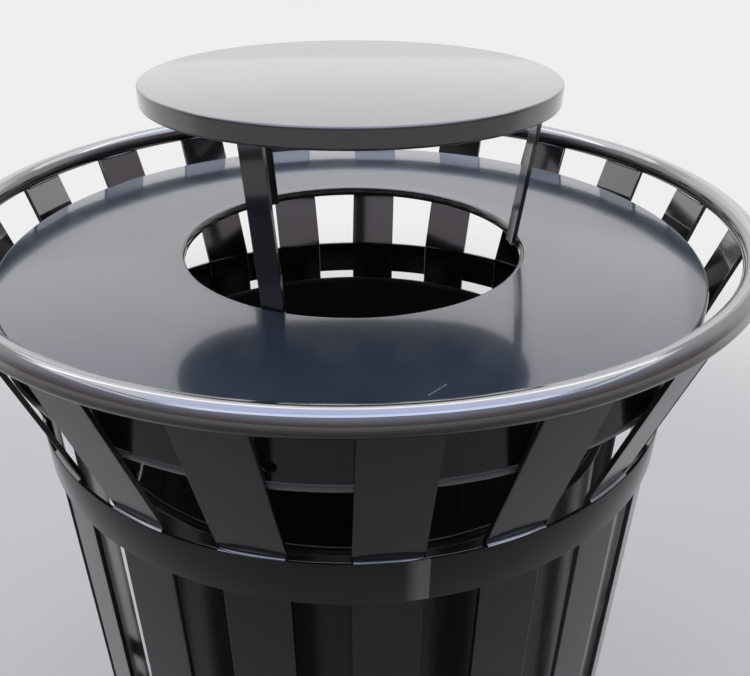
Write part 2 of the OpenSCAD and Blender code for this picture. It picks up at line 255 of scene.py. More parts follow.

# %% [markdown]
# ## Gloss black powder coat
# Black paint shows little colour of its own, so nearly all that the eye sees is reflection. Every coat
# here is the same shader: nearly black paint, a little rough, under a clear coat. Five separate trees
# would drift apart, so one recipe mixes them all. They differ in how strongly the clear coat mirrors
# and on which faces: the inner side of the slats, the upper side of the rim, or the lid's top and lip.
# The lid's top is painted bluish, a painted tint of blue sky light, and dust settles on all that faces
# up, in a blue that is painted sky light too.

# %% Mix the coats
BLACK = (0.0060, 0.0056, 0.0056, 1)
BONNET_BLACK = (0.0120, 0.0112, 0.0112, 1)
# Bluish tone painted on the lid's top: painted blue sky light
LID_PAINTED_SKYLIGHT = (0.0190, 0.0270, 0.0440, 1)
# Dust colour, its blue chosen as painted sky light on all that faces up
DUST_AND_SKYLIGHT_BLUE = (0.24, 0.30, 0.40, 1)
BARE_SCRATCH = (0.20, 0.21, 0.23, 1)
# Pale colour for real scratches and for painted highlights on the lid's bead and lip and the band's
# seam
PALE_SCRATCH_AND_HIGHLIGHT = (0.34, 0.31, 0.31, 1)
CLOUDING = 1.5
PEEL_STRENGTH, PEEL_DEPTH = 0.25, 0.1 * MM


def powder_coat(name, paint, roughness, shine, gloss_ior, gloss, dustiness, marks_and_highlights=None, top=None):
    finish = Finish(name, IOR=1.45, Specular_IOR_Level=shine, Coat_Roughness=0.07, Coat_IOR=gloss_ior)
    # Dust settles on what faces up; its blue colour is painted sky light as well
    dust = finish.facing_up() * finish.ramp(finish.noise(11.0, 4.0), 0.2, 0.85) * dustiness
    worn = scratches(finish, (0.0, 0.0, 0.6), 0.64) + scratches(finish, (0.5, 0.3, 2.1), 0.66)
    speck = specks(finish, 60.0, 0.030, 0.22)
    tone = finish.mix(finish.noise(3.0, 3.0), paint, [value * CLOUDING for value in paint[:3]] + [1])
    # The top colour goes on upward faces only: painted sky light
    if top:
        tone = finish.mix(finish.facing_up(), tone, top)
    tone = finish.mix(dust, tone, DUST_AND_SKYLIGHT_BLUE)
    tone = finish.mix(worn * 0.15 + speck * 0.5, tone, BARE_SCRATCH)
    # These marks hold real scratches as well as painted highlights and painted reflections
    if marks_and_highlights:
        tone = finish.mix(marks_and_highlights(finish), tone, PALE_SCRATCH_AND_HIGHLIGHT)
    peel = finish.noise(380.0, 1.0) + finish.noise(34.0, 1.0) * 6.0
    finish.set(Base_Color=tone, Coat_Weight=gloss(finish),
               Roughness=roughness + finish.noise(22.0, 3.0) * 0.06 + dust * 0.6 + worn * 0.2,
               Normal=finish.bump(peel - speck * 2.0, PEEL_STRENGTH, PEEL_DEPTH))
    return finish.material


def rim_gloss(finish):
    return finish.facing_up(-0.3, 0.5)


def lid_gloss(finish):
    top = finish.facing_up(0.3, 0.8) * 0.7
    return top.math("MAXIMUM", top, finish.facing_in(WELL_INWARD))


def bonnet_gloss(finish):
    return 0.7


cage = {"paint": BLACK, "roughness": 0.12, "shine": 0.32, "gloss_ior": 2.5, "gloss": Finish.facing_in,
        "dustiness": 0.03}
frame_coat = powder_coat("frame_powder_coat", **cage)
# The upper band carries the painted reflection beside its seam
band_coat = powder_coat("band_powder_coat", marks_and_highlights=painted_seam_reflection, **cage)
rim_coat = powder_coat("rim_powder_coat", BLACK, roughness=0.10, shine=0.5, gloss_ior=2.3,
                       gloss=rim_gloss, dustiness=0.03)
# The lid carries painted sky light on its top and painted highlights on its bead and lip
lid_coat = powder_coat("lid_powder_coat", BLACK, roughness=0.15, shine=0.4, gloss_ior=1.5,
                       gloss=lid_gloss, dustiness=0.06, marks_and_highlights=lid_scratch_and_highlights, top=LID_PAINTED_SKYLIGHT)
bonnet_coat = powder_coat("bonnet_powder_coat", BONNET_BLACK, roughness=0.15, shine=0.5, gloss_ior=1.8,
                          gloss=bonnet_gloss, dustiness=0.04)
print("coats:", [coat.name for coat in (frame_coat, band_coat, rim_coat, lid_coat, bonnet_coat)])

# %% [markdown]
# ## The other finishes
# The liner is painted more thinly than the cage, so it is duller, and it is scuffed inside by what
# falls into it. Its inside is also painted paler than its outside, as painted light that lifts the
# shade inside the drum. The handles, rivets and fixings are zinc plated, which shows as a soft grey
# metal with a faint spangle. The feet are black rubber, matt and slightly grainy. Each has a short tree
# of its own, because the three have nothing in common but their noise.

# %% Mix the liner paint, the zinc and the rubber
LINER_OUT, LINER_OUT_SCUFFED = (0.030, 0.030, 0.032, 1), (0.060, 0.060, 0.062, 1)
# The inside is paler than the outside: painted light that lifts the shade inside the drum
LINER_IN_PAINTED_FILL, LINER_IN_SCUFFED_PAINTED_FILL = (0.085, 0.088, 0.096, 1), (0.130, 0.132, 0.140, 1)
ZINC_DARK, ZINC_PALE, ZINC_STAIN = (0.56, 0.57, 0.58, 1), (0.68, 0.68, 0.67, 1), (0.40, 0.39, 0.36, 1)
RUBBER, RUBBER_BLOOM = (0.016, 0.016, 0.016, 1), (0.05, 0.05, 0.048, 1)


def liner_paint():
    finish = Finish("liner_paint", IOR=1.5, Specular_IOR_Level=0.12, Coat_Weight=0.05,
                    Coat_Roughness=0.2)
    scuffs = finish.ramp(finish.noise(1.0, 3.0, finish.stretched((14, 14, 2.2))), 0.55, 0.75)
    worn = scratches(finish, (0.2, 1.2, 0.4), 0.52)
    outside = finish.mix(scuffs * 0.6, LINER_OUT, LINER_OUT_SCUFFED)
    inside = finish.mix(scuffs * 0.6, LINER_IN_PAINTED_FILL, LINER_IN_SCUFFED_PAINTED_FILL)
    # Inward faces take the paler colours: painted light for the shaded inside
    tone = finish.mix(finish.facing_in(), outside, inside)
    finish.set(Base_Color=finish.mix(worn * 0.4, tone, BARE_SCRATCH),
               Roughness=0.26 + scuffs * 0.18 + worn * 0.15,
               Normal=finish.bump(finish.noise(300.0, 1.0) + finish.noise(20.0, 1.0) * 8.0, 0.4,
                                  PEEL_DEPTH))
    return finish.material


def zinc_plate():
    finish = Finish("zinc_plate", Metallic=1.0)
    spangle = finish.node("ShaderNodeTexVoronoi", {}, {"Vector": finish.place, "Scale": 260.0},
                          out="Color")
    grain = finish.node("ShaderNodeSeparateColor", {}, {0: spangle}, out="Red")
    stain = finish.ramp(finish.noise(40.0, 4.0), 0.5, 0.8)
    plated = finish.mix(grain * 0.5, ZINC_DARK, ZINC_PALE)
    finish.set(Base_Color=finish.mix(stain * 0.5, plated, ZINC_STAIN),
               Roughness=0.26 + grain * 0.08 + stain * 0.2,
               Normal=finish.bump(finish.noise(900.0, 2.0), 0.25, 0.05 * MM))
    return finish.material


def foot_rubber():
    finish = Finish("foot_rubber", IOR=1.45)
    grain = finish.noise(700.0, 3.0)
    bloom = finish.ramp(finish.noise(50.0, 4.0), 0.45, 0.8)
    finish.set(Base_Color=finish.mix(bloom * 0.5, RUBBER, RUBBER_BLOOM),
               Roughness=0.62 + grain * 0.2,
               Normal=finish.bump(grain, 0.5, 0.2 * MM))
    return finish.material


liner_coat = liner_paint()
zinc = zinc_plate()
rubber = foot_rubber()
print("finishes:", liner_coat.name, zinc.name, rubber.name)

# %% [markdown]
# ## Tools for the bench
# Most of the bin is sheet and bar, bent or spun to a simple section. So the bench needs three tools:
# one draws a section point by point, one spins it round the bin's axis as a sheet-metal spinner
# does, and one hangs the finished piece on its body with its paint.

# %% Draw a section
MERGE = 0.02 * MM
SMOOTH_ANGLE = math.radians(32)


def begin(add, name, **shape):
    bpy.ops.object.select_all(action="DESELECT")
    add(**shape)
    piece = bpy.context.active_object
    piece.name = piece.data.name = name
    bpy.ops.object.transform_apply(location=True, rotation=True, scale=True)
    bpy.ops.object.mode_set(mode="EDIT")
    return piece


def arc(centre, radius, first, last, steps=8):
    turns = [math.radians(first + (last - first) * step / steps) for step in range(steps + 1)]
    return [(centre[0] + radius * math.cos(turn), centre[1] + radius * math.sin(turn))
            for turn in turns]


def draw_section(name, points):
    piece = begin(bpy.ops.mesh.primitive_plane_add, name, size=MM)
    bpy.ops.mesh.merge(type="CENTER")
    bpy.ops.transform.translate(value=(points[0][0], 0, points[0][1]))
    for (x, z), (next_x, next_z) in zip(points, points[1:]):
        step = {"value": (next_x - x, 0, next_z - z)}
        bpy.ops.mesh.extrude_vertices_move(TRANSFORM_OT_translate=step)
    bpy.ops.mesh.select_all(action="SELECT")
    return piece


def settle(piece):
    bpy.ops.mesh.select_all(action="SELECT")
    bpy.ops.mesh.remove_doubles(threshold=MERGE)
    bpy.ops.mesh.normals_make_consistent(inside=False)
    bpy.ops.object.mode_set(mode="OBJECT")
    bpy.ops.object.shade_smooth_by_angle(angle=SMOOTH_ANGLE)
    return piece


print("points merge within", MERGE / MM, "mm")

# %% Spin a section
SPIN_STEPS = 192


def spin_section(name, points, closed=True, steps=SPIN_STEPS):
    piece = draw_section(name, points)
    if closed:
        bpy.ops.mesh.edge_face_add()
        bpy.ops.mesh.delete(type="ONLY_FACE")
        bpy.ops.mesh.select_all(action="SELECT")
    bpy.ops.mesh.spin(steps=steps, angle=math.tau, center=(0, 0, 0), axis=(0, 0, 1))
    return settle(piece)


def sweep_section(name, points, degrees, steps):
    piece = draw_section(name, points)
    bpy.ops.mesh.edge_face_add()
    bpy.ops.mesh.spin(steps=steps, angle=math.radians(degrees), center=(0, 0, 0), axis=(0, 0, 1))
    return settle(piece)


print("a full turn has", SPIN_STEPS, "steps")


# %% Round, copy, join and hang
def apply_modifier(piece, kind, **settings):
    bpy.ops.object.select_all(action="DESELECT")
    piece.select_set(True)
    bpy.context.view_layer.objects.active = piece
    modifier = piece.modifiers.new(kind.lower(), kind)
    for name, value in settings.items():
        setattr(modifier, name, value)
    bpy.ops.object.modifier_apply(modifier=modifier.name)
    return piece


def round_edges(piece, width, angle=SMOOTH_ANGLE):
    apply_modifier(piece, "BEVEL", width=width, segments=2, limit_method="ANGLE", angle_limit=angle)
    bpy.ops.object.shade_smooth_by_angle(angle=SMOOTH_ANGLE)
    return piece


def copy_placed(piece, name, matrix):
    copied = piece.copy()
    copied.data = piece.data.copy()
    copied.name = copied.data.name = name
    bpy.context.collection.objects.link(copied)
    copied.data.transform(matrix)
    return copied


def join(pieces, name):
    bpy.ops.object.select_all(action="DESELECT")
    for piece in pieces:
        piece.select_set(True)
    bpy.context.view_layer.objects.active = pieces[0]
    bpy.ops.object.join()
    pieces[0].name = pieces[0].data.name = name
    return pieces[0]


def throw_away(piece):
    bpy.data.meshes.remove(piece.data)


def hang(piece, body, slot, coat, *nodes):
    piece.data.materials.clear()
    piece.data.materials.append(coat)
    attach(piece, body)
    if nodes:
        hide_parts(*nodes)
    size = [round(value / MM) for value in piece.dimensions]
    print(piece.name, "on", body, "mm", size, len(piece.data.polygons), "faces")


def turned(degrees):
    return Matrix.Rotation(math.radians(degrees), 4, "Z")


print("bench is ready")

# %% [markdown]
# ## The rim
# The rim is a round steel tube, rolled into a ring and butt welded where its ends meet. A circle could
# be spun, but a torus is that shape already. A narrow collar at the back stands for the weld, ground
# nearly flush: the torus's points near the seam are swollen a little.

# %% Roll the rim
RIM_R = 340 * MM
RIM_Z = 881 * MM
TUBE_R = 10 * MM
TUBE_SIDES = 32
SEAM_TURN = 118
SEAM_HALF = 2.5 * MM
SEAM_SWELL = 1.035

rim = begin(bpy.ops.mesh.primitive_torus_add, "rim_ring", major_radius=RIM_R, minor_radius=TUBE_R,
            major_segments=SPIN_STEPS * 2, minor_segments=TUBE_SIDES, location=(0, 0, RIM_Z))
bpy.ops.mesh.select_all(action="DESELECT")
bpy.ops.object.mode_set(mode="OBJECT")
seam_at = turned(SEAM_TURN) @ Vector((RIM_R, 0, RIM_Z))
along = turned(SEAM_TURN) @ Vector((0, 1, 0))
for vertex in rim.data.vertices:
    off = vertex.co - seam_at
    vertex.select = off.length < 2 * TUBE_R and abs(off.dot(along)) < SEAM_HALF
bpy.ops.object.mode_set(mode="EDIT")
bpy.ops.transform.resize(value=(SEAM_SWELL, SEAM_SWELL, SEAM_SWELL), center_override=seam_at)
hang(settle(rim), "frame", "frame_paint", rim_coat, "rim_tube")

# %% [markdown]
# ## The slats
# Each slat is a flat bar, bent once: it leans out slightly as it rises, and from the upper band it
# flares out to the rim. A long box could be bent, but it would thin out at the bend. So the side view
# is drawn as one outline with true radii, filled, and pulled out to the bar's width. Rounding the edges
# by half a millimetre gives them the thin line of light that rolled bar has. One slat is modelled, and
# the other eighteen are copies turned round the axis.

# %% Work out the slat
SLAT_COUNT = 19
SLAT_W = 51.5 * MM
SLAT_T = 4 * MM
SLAT_BOTTOM = 14 * MM
SLAT_LEAN = math.radians(1.6)
BEND_R = 6 * MM
BAND_R = 293 * MM
BAND_T = 3 * MM
BAND_TOP = RIM_Z - 150.5 * MM
WELD_GAP = 0.1 * MM
INTO_TUBE = 1.2 * MM

bend_x = math.sqrt((BAND_R - BAND_T - WELD_GAP) ** 2 - (SLAT_W / 2) ** 2)
centre_x = bend_x + BEND_R * math.cos(SLAT_LEAN)
centre_z = BAND_TOP - BEND_R * math.sin(SLAT_LEAN)
reach = math.hypot(RIM_R - centre_x, RIM_Z - centre_z)
mid_bend = BEND_R + SLAT_T / 2
flare_lean = math.atan2(RIM_R - centre_x, RIM_Z - centre_z) + math.asin(mid_bend / reach)
flare_length = math.sqrt(reach ** 2 - mid_bend ** 2) - TUBE_R + INTO_TUBE


def slat_outer_x(height):
    return bend_x - math.tan(SLAT_LEAN) * (BAND_TOP - height)


def slat_face(radius):
    low = (centre_x - radius * math.cos(SLAT_LEAN), centre_z + radius * math.sin(SLAT_LEAN))
    fall = low[1] - SLAT_BOTTOM
    foot = (low[0] - fall * math.tan(SLAT_LEAN), SLAT_BOTTOM)
    bend = arc((centre_x, centre_z), radius, 180 - math.degrees(SLAT_LEAN),
               180 - math.degrees(flare_lean), 6)
    top = (bend[-1][0] + flare_length * math.sin(flare_lean),
           bend[-1][1] + flare_length * math.cos(flare_lean))
    return [foot] + bend + [top]


print("flare leans", round(math.degrees(flare_lean), 2), "degrees over", round(flare_length / MM), "mm")

# %% Bend one slat and copy it round
EDGE_ROUND = 0.6 * MM

slat = draw_section("slat_pattern", slat_face(BEND_R) + slat_face(BEND_R + SLAT_T)[::-1])
bpy.ops.mesh.edge_face_add()
bpy.ops.transform.translate(value=(0, -SLAT_W / 2, 0))
bpy.ops.mesh.extrude_region_move(TRANSFORM_OT_translate={"value": (0, SLAT_W, 0)})
round_edges(settle(slat), EDGE_ROUND)
slat_turns = [360 / SLAT_COUNT * index - 90 for index in range(SLAT_COUNT)]
for index, turn in enumerate(slat_turns, 1):
    bent = copy_placed(slat, f"bent_slat_{index:02d}", turned(turn))
    hang(bent, "frame", "frame_paint", frame_coat, f"slat_{index:02d}")
throw_away(slat)

# %% [markdown]
# ## The bands
# Two flat hoops hold the slats. Each is a strip rolled into a ring and leans as the slats do. A tube
# with a bevel would give its shape too, but spinning a leaning rectangle with soft corners keeps the
# slope exact.

# %% Roll the bands
BAND_H = 38.5 * MM
LOWER_BAND_Z = 65 * MM
CORNER_R = 0.7 * MM


def band_inner_r(height):
    return math.hypot(slat_outer_x(height), SLAT_W / 2) + WELD_GAP


def band_section(low, high):
    corners = [(band_inner_r(low), low, 180), (band_inner_r(low) + BAND_T, low, 270),
               (band_inner_r(high) + BAND_T, high, 0), (band_inner_r(high), high, 90)]
    points = []
    for x, z, turn in corners:
        inward_x = CORNER_R if turn in (180, 90) else -CORNER_R
        inward_z = CORNER_R if turn in (180, 270) else -CORNER_R
        points += arc((x + inward_x, z + inward_z), CORNER_R, turn, turn + 90, 4)
    return points


upper = spin_section("upper_hoop", band_section(BAND_TOP - BAND_H, BAND_TOP))
hang(upper, "frame", "frame_paint", band_coat, "upper_band")
lower = spin_section("lower_hoop", band_section(LOWER_BAND_Z, LOWER_BAND_Z + BAND_H))
hang(lower, "frame", "frame_paint", frame_coat, "lower_band")

# %% [markdown]
# ## Welds
# Each band is welded to every slat along its top edge, in a smooth fillet that catches the light as a
# thin bright line. A fillet is a small section, swept round the axis over the width of one slat. Under
# the rim, a bead of weld runs along each slat's end. A bead is a row of small overlapping puddles, so
# a ring is extruded in short steps that swell and shrink in turn. Each is made once and copied.

# %% Sweep the fillets along the bands
LOWER_TOP = LOWER_BAND_Z + BAND_H
FILLET_H = 1.4 * MM
FILLET_SWELL = 0.25 * MM
FILLET_SUNK = 1.2 * MM
FILLET_INSET = 0.8 * MM
FILLET_STEPS = 6
FILLET_TURNS = 10
fillet_half = math.degrees(math.asin((SLAT_W / 2 - MM) / BAND_R))


def weld_fillet(name, top):
    face, edge = slat_outer_x(top), band_inner_r(top) + BAND_T - FILLET_INSET
    section = []
    for step in range(FILLET_STEPS + 1):
        share = step / FILLET_STEPS
        section.append((edge + (face - edge) * share,
                        top + FILLET_H * share + FILLET_SWELL * math.sin(math.pi * share)))
    section += [(face - FILLET_SUNK, top + FILLET_H), (face - FILLET_SUNK, top - FILLET_SUNK),
                (edge, top - FILLET_SUNK)]
    return sweep_section(name, section, 2 * fillet_half, FILLET_TURNS)


fillets = []
for top in (BAND_TOP, LOWER_TOP):
    pattern = weld_fillet("fillet_pattern", top)
    fillets += [copy_placed(pattern, "fillet", turned(turn + fillet_half)) for turn in slat_turns]
    throw_away(pattern)
hang(join(fillets, "band_welds"), "frame", "frame_paint", rim_coat)

# %% Lay the beads under the rim
BEAD_SIDES = 10
PUDDLE = 2.2 * MM
PUDDLE_NECK = 0.86
BEAD_END = 0.4
RIM_BEAD_R = 1.4 * MM
RIM_BEAD_SHORT = 6 * MM
RIM_BEAD_OFF = 0.4 * MM


def weld_bead(name, length, radius):
    bead = begin(bpy.ops.mesh.primitive_circle_add, name, vertices=BEAD_SIDES, radius=radius * BEAD_END,
                 fill_type="NGON", rotation=(math.pi / 2, 0, 0), location=(0, -length / 2, 0))
    steps = 2 * round(length / PUDDLE)
    size = BEAD_END
    for step in range(1, steps + 1):
        bpy.ops.mesh.extrude_region_move(TRANSFORM_OT_translate={"value": (0, length / steps, 0)})
        wanted = BEAD_END if step == steps else (1.0 if step % 2 else PUDDLE_NECK)
        grow = wanted / size
        middle = (0, -length / 2 + length * step / steps, 0)
        bpy.ops.transform.resize(value=(grow, grow, grow), center_override=middle)
        size = wanted
    return settle(bead)


def copies_round(name, pattern, places, turns):
    copies = [copy_placed(pattern, name, turned(turn) @ place) for turn in turns for place in places]
    throw_away(pattern)
    return join(copies, name)


inward = Vector((-math.cos(flare_lean), 0, math.sin(flare_lean)))
upward = Vector((math.sin(flare_lean), 0, math.cos(flare_lean)))
rim_corner = Vector((RIM_R, 0, RIM_Z)) - upward * TUBE_R + inward * (SLAT_T / 2 + RIM_BEAD_OFF)
rim_welds = copies_round("rim_welds", weld_bead("rim_bead", SLAT_W - RIM_BEAD_SHORT, RIM_BEAD_R),
                         [Matrix.Translation(rim_corner)], slat_turns)
hang(rim_welds, "frame", "frame_paint", frame_coat)

# %% [markdown]
# ## The base
# A shallow pan with a turned-up edge closes the cage. It is spun like the bands, from the drain in its
# middle outwards, and then drilled for four ground anchors. A hole that goes through a spun sheet is
# quickest cut by subtracting a cylinder.

# %% Spin and drill the base
FOOT_H = 20 * MM
BASE_T = 3 * MM
BASE_EDGE_H = 25 * MM
FOLD_R = 4 * MM
DRAIN_R = 12.5 * MM
ANCHOR_R = 7 * MM
ANCHOR_RING = 150 * MM
ANCHOR_COUNT = 4
DRILL_SIDES = 48


def drill(piece, radius, place, depth):
    cutter = begin(bpy.ops.mesh.primitive_cylinder_add, "drill", vertices=DRILL_SIDES, radius=radius,
                   depth=depth)
    bpy.ops.object.mode_set(mode="OBJECT")
    cutter.data.transform(place)
    apply_modifier(piece, "BOOLEAN", object=cutter, operation="DIFFERENCE", solver="EXACT")
    throw_away(cutter)


base_r = slat_outer_x(FOOT_H) - SLAT_T / math.cos(SLAT_LEAN) - WELD_GAP
base_fold = (base_r - FOLD_R, FOOT_H + FOLD_R)
base_lip = arc((base_r - BASE_T / 2, FOOT_H + BASE_EDGE_H - BASE_T / 2), BASE_T / 2, 0, 180, 6)
base = spin_section("base_tray", [(DRAIN_R, FOOT_H)] + arc(base_fold, FOLD_R, 270, 360) + base_lip
                    + arc(base_fold, FOLD_R - BASE_T, 360, 270) + [(DRAIN_R, FOOT_H + BASE_T)])
anchor = Matrix.Translation((ANCHOR_RING, 0, FOOT_H))
for index in range(ANCHOR_COUNT):
    drill(base, ANCHOR_R, turned(360 / ANCHOR_COUNT * index) @ anchor, 6 * BASE_T)
bpy.ops.object.mode_set(mode="EDIT")
hang(settle(base), "frame", "frame_paint", frame_coat, "base_pan")

# %% [markdown]
# ## The feet
# Four rubber feet lift the base off the ground, each bolted up through a recess in its middle. A foot
# could be a cylinder with cuts, but all that it has is round. So it is spun as one section: a soft
# outer edge, two grip grooves round its side and the stepped bore for the bolt's head.

# %% Mould the feet
FOOT_R = 22 * MM
FOOT_SOFT = 2.5 * MM
GROOVE_R = 1.2 * MM
HEAD_BORE = 8 * MM
BOLT_BORE = 4.5 * MM
SEAT_Z = 11 * MM
FOOT_RING = 200 * MM
GROOVE_HEIGHTS = (8 * MM, 13 * MM)
FOOT_STEPS = 64

foot_side = []
for height in GROOVE_HEIGHTS:
    foot_side += arc((FOOT_R, height), GROOVE_R, 270, 90, 6)
foot_section = ([(HEAD_BORE, 0)] + arc((FOOT_R - FOOT_SOFT, FOOT_SOFT), FOOT_SOFT, 270, 360, 6)
                + foot_side + arc((FOOT_R - GROOVE_R, FOOT_H - GROOVE_R), GROOVE_R, 0, 90, 4)
                + [(BOLT_BORE, FOOT_H), (BOLT_BORE, SEAT_Z), (HEAD_BORE, SEAT_Z)])
foot = spin_section("foot_pattern", foot_section, steps=FOOT_STEPS)
for index in range(1, 5):
    place = turned(90 * index - 45) @ Matrix.Translation((FOOT_RING, 0, 0))
    hang(copy_placed(foot, f"rubber_foot_{index}", place), "frame", "foot_rubber", rubber,
         f"foot_{index}")
throw_away(foot)

# %% [markdown]
# ## The lid
# The lid is one sheet: a flat ring with a mouth in the middle, a small lip turned down round the
# mouth, a tight outer edge, a skirt, and a bead rolled at the skirt's foot that rests on the slats.
# All of that is round, so it is one section, spun. A hole in the skirt takes a tether: it points
# sideways, so it is drilled afterwards.

# %% Spin the lid
LID_R = 311 * MM
LID_T = 2 * MM
LID_EDGE_R = 2.5 * MM
LID_BEAD_R = 4 * MM
LID_BEAD_RING = 308.5 * MM
LID_BEAD_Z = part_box("lid_pan")[0].z + LID_BEAD_R
MOUTH_R = 153 * MM
MOUTH_FOLD_R = 4 * MM
MOUTH_LIP = 8 * MM
TETHER_R = 5 * MM
TETHER_DROP = 24.5 * MM
TETHER_TURN = -104.2

lid_edge = (LID_R - LID_EDGE_R, LID_TOP - LID_EDGE_R)
mouth_fold = (MOUTH_R + MOUTH_FOLD_R, LID_TOP - MOUTH_FOLD_R)
bead_from = math.degrees(math.acos((LID_R - LID_BEAD_RING) / LID_BEAD_R))
bead_to = math.degrees(math.acos((LID_R - LID_T - LID_BEAD_RING) / LID_BEAD_R)) - 360
lip_end = (MOUTH_R + LID_T / 2, LID_TOP - MOUTH_LIP + LID_T / 2)
lid_section = (arc(mouth_fold, MOUTH_FOLD_R, 180, 90) + arc(lid_edge, LID_EDGE_R, 90, 0, 12)
               + arc((LID_BEAD_RING, LID_BEAD_Z), LID_BEAD_R, bead_from, bead_to, 28)
               + arc(lid_edge, LID_EDGE_R - LID_T, 0, 90, 12)
               + arc(mouth_fold, MOUTH_FOLD_R - LID_T, 90, 180) + arc(lip_end, LID_T / 2, 0, -180, 6))
lid = spin_section("lid_sheet", lid_section)
drill(lid, TETHER_R, turned(TETHER_TURN) @ Matrix.Translation((LID_R, 0, LID_TOP - TETHER_DROP))
      @ Matrix.Rotation(math.pi / 2, 4, "Y"), 10 * LID_T)
bpy.ops.object.shade_smooth_by_angle(angle=SMOOTH_ANGLE)
hang(lid, "lid", "lid_paint", lid_coat, "lid_pan")

# %% [markdown]
# ## The bonnet
# The bonnet keeps rain out of the mouth. It is a flat disc with a turned-down rim, and the rim's raw
# edge is folded up inside as a hem, which gives it the rounded lower edge that catches the light.

# %% Spin the bonnet
BONNET_R = 175.5 * MM
BONNET_T = 2 * MM
BONNET_EDGE_R = 2.5 * MM
BONNET_RIM_H = 16.5 * MM
HEM_H = 8 * MM
BONNET_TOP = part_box("bonnet_cap")[1].z
HEM_BOTTOM = BONNET_TOP - BONNET_RIM_H

bonnet_edge = (BONNET_R - BONNET_EDGE_R, BONNET_TOP - BONNET_EDGE_R)
hem_top = (BONNET_R - 1.5 * BONNET_T, HEM_BOTTOM + HEM_H - BONNET_T / 2)
hem_fold = (BONNET_R - BONNET_T, HEM_BOTTOM + BONNET_T)
bonnet = spin_section(
    "bonnet_disc",
    [(0, BONNET_TOP - BONNET_T)] + arc(bonnet_edge, BONNET_EDGE_R - BONNET_T, 90, 0)
    + arc(hem_top, BONNET_T / 2, 0, 180, 6) + arc(hem_fold, BONNET_T, 180, 360, 10)
    + arc(bonnet_edge, BONNET_EDGE_R, 0, 90, 10) + [(0, BONNET_TOP)], closed=False)
hang(bonnet, "lid", "lid_paint", bonnet_coat, "bonnet_cap")

# %% [markdown]
# ## The bonnet's legs
# Three flat bars carry the bonnet. Each stands inside the mouth's lip, leans out as it rises and
# ends inside the hem, welded at both. The bar is a quadrilateral from the side, pulled out to its
# width and rounded along its edges.

# %% Bend the legs and weld them in
LEG_W = 20 * MM
LEG_T = 4 * MM
LEG_DROP = 8 * MM
LEG_TURNS = [-118.8, 1.2, 121.2]
LEG_BEAD_R = 1.5 * MM
LEG_BEAD_L = 7 * MM
LEG_BEAD_SUNK = 0.6 * MM
LOW_BEAD_DROP = 4.5 * MM
HIGH_BEAD_RISE = 5 * MM

leg_low_z = LID_TOP - MOUTH_FOLD_R
leg_low_x = math.sqrt((MOUTH_R - WELD_GAP) ** 2 - (LEG_W / 2) ** 2)
leg_high_z = HEM_BOTTOM + HEM_H
leg_high_x = math.sqrt((BONNET_R - 2 * BONNET_T - WELD_GAP) ** 2 - (LEG_W / 2) ** 2)
leg_slope = (leg_high_x - leg_low_x) / (leg_high_z - leg_low_z)
leg_thick = LEG_T * math.hypot(1, leg_slope)


def leg_x(height):
    return leg_low_x + leg_slope * (height - leg_low_z)


leg_foot, leg_head = LID_TOP - LEG_DROP, BONNET_TOP - BONNET_T
leg_side = [(leg_x(leg_foot) - leg_thick, leg_foot), (leg_x(leg_foot), leg_foot),
            (leg_x(leg_head), leg_head), (leg_x(leg_head) - leg_thick, leg_head)]
leg = draw_section("leg_pattern", leg_side)
bpy.ops.mesh.edge_face_add()
bpy.ops.transform.translate(value=(0, -LEG_W / 2, 0))
bpy.ops.mesh.extrude_region_move(TRANSFORM_OT_translate={"value": (0, LEG_W, 0)})
round_edges(settle(leg), EDGE_ROUND)
for index, turn in enumerate(LEG_TURNS, 1):
    hang(copy_placed(leg, f"bonnet_bar_{index}", turned(turn)), "lid", "lid_paint", bonnet_coat,
         f"bonnet_leg_{index}")
throw_away(leg)

upright = Matrix.Rotation(math.pi / 2, 4, "X")
leg_places = []
for side in (-1, 1):
    for height in (LID_TOP - LOW_BEAD_DROP, HEM_BOTTOM + HIGH_BEAD_RISE):
        spot = (leg_x(height) - LEG_BEAD_SUNK, side * LEG_W / 2, height)
        leg_places.append(Matrix.Translation(spot) @ upright)
leg_bead = weld_bead("leg_bead", LEG_BEAD_L, LEG_BEAD_R)
leg_welds = copies_round("leg_welds", leg_bead, leg_places, LEG_TURNS)
hang(leg_welds, "lid", "lid_paint", bonnet_coat)

# %% [markdown]
# ## The liner
# The liner is a plain drum that stands in the cage and holds the litter. Its wall is one sheet with
# a rim rolled outwards, and its floor is a second, turned down at the edge so that it stands clear
# of the base. A lapped strip up the back is where the wall's ends meet.

# %% Roll the liner
LINER_R = 243 * MM
LINER_T = 1.5 * MM
LINER_BEAD_R = 4 * MM
LINER_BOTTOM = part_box("liner_wall")[0].z
LINER_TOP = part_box("liner_wall")[1].z
FLOOR_RISE = 20 * MM
FLOOR_FOLD_R = 5 * MM
LAP_TURN = 100
LAP_SWEEP = 4.2
LAP_T = 1.2 * MM
LAP_STEPS = 8
LAP_EDGE = 0.3 * MM

liner_bead = (LINER_R + LINER_BEAD_R - LINER_T, LINER_TOP - LINER_BEAD_R)
bead_end = math.degrees(math.acos((liner_bead[0] - LINER_R) / LINER_BEAD_R)) - 180
liner = spin_section("liner_drum", [(LINER_R - LINER_T, LINER_BOTTOM)]
                     + arc(liner_bead, LINER_BEAD_R, 180, bead_end, 24) + [(LINER_R, LINER_BOTTOM)])
hang(liner, "liner", "liner_paint", liner_coat, "liner_wall")

